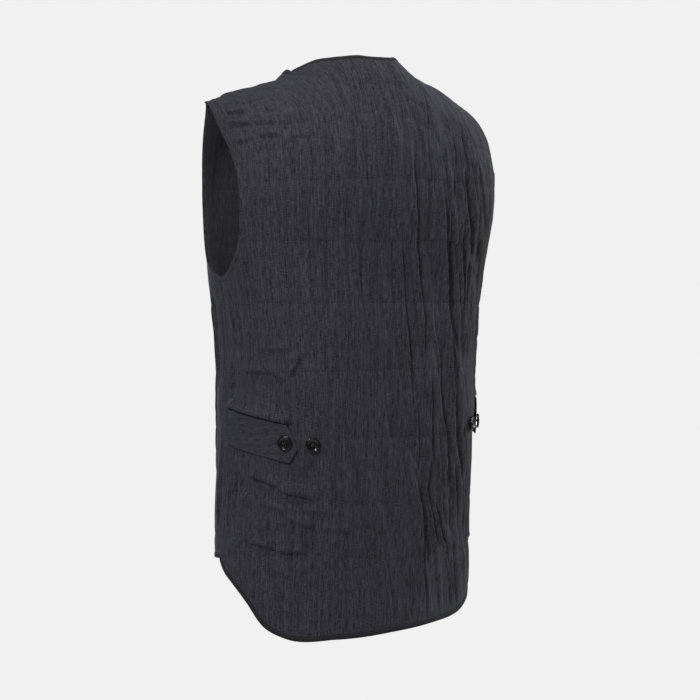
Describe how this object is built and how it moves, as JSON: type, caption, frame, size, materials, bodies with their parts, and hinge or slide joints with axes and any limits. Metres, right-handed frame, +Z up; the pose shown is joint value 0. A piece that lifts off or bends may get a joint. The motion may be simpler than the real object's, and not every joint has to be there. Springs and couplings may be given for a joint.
{
  "type": "quilted vest",
  "caption": "Collarless quilted vest in its worn, hollow form, with bound edges, a buttoned front, a long curved back hem and a buttoned strap at each side.",
  "frame": {"origin": "on the shoulder line, midway between the neck ends of the two shoulder seams, where the wearer's shoulders hold the vest up", "axes": "+Z up along the wearer's spine, -Y to the wearer's front, +X to the wearer's left"},
  "size_m": [0.3748, 0.2588, 0.7018],
  "materials": {
    "quilted_cloth": "charcoal melange plain weave with slubs, over thin wadding, quilted; matt",
    "binding_cloth": "near-black plain weave tape, pressed and topstitched",
    "tab_cloth": "the same charcoal cloth, unquilted, its grain along the strap",
    "button_black": "polished black resin"
  },
  "bodies": {
    "root": {"back_panel": "quilted_cloth", "front_panel_left": "quilted_cloth", "front_panel_right": "quilted_cloth", "armhole_band_left": "binding_cloth", "armhole_band_right": "binding_cloth", "hem_binding": "binding_cloth", "neck_front_binding": "binding_cloth", "side_tab_left": "tab_cloth", "side_tab_right": "tab_cloth", "tab_button_left": "button_black", "body_button_left": "button_black", "tab_button_right": "button_black", "body_button_right": "button_black", "front_button_1": "button_black", "front_button_2": "button_black", "front_button_3": "button_black", "front_button_4": "button_black", "front_button_5": "button_black"}
  },
  "joints": []
}
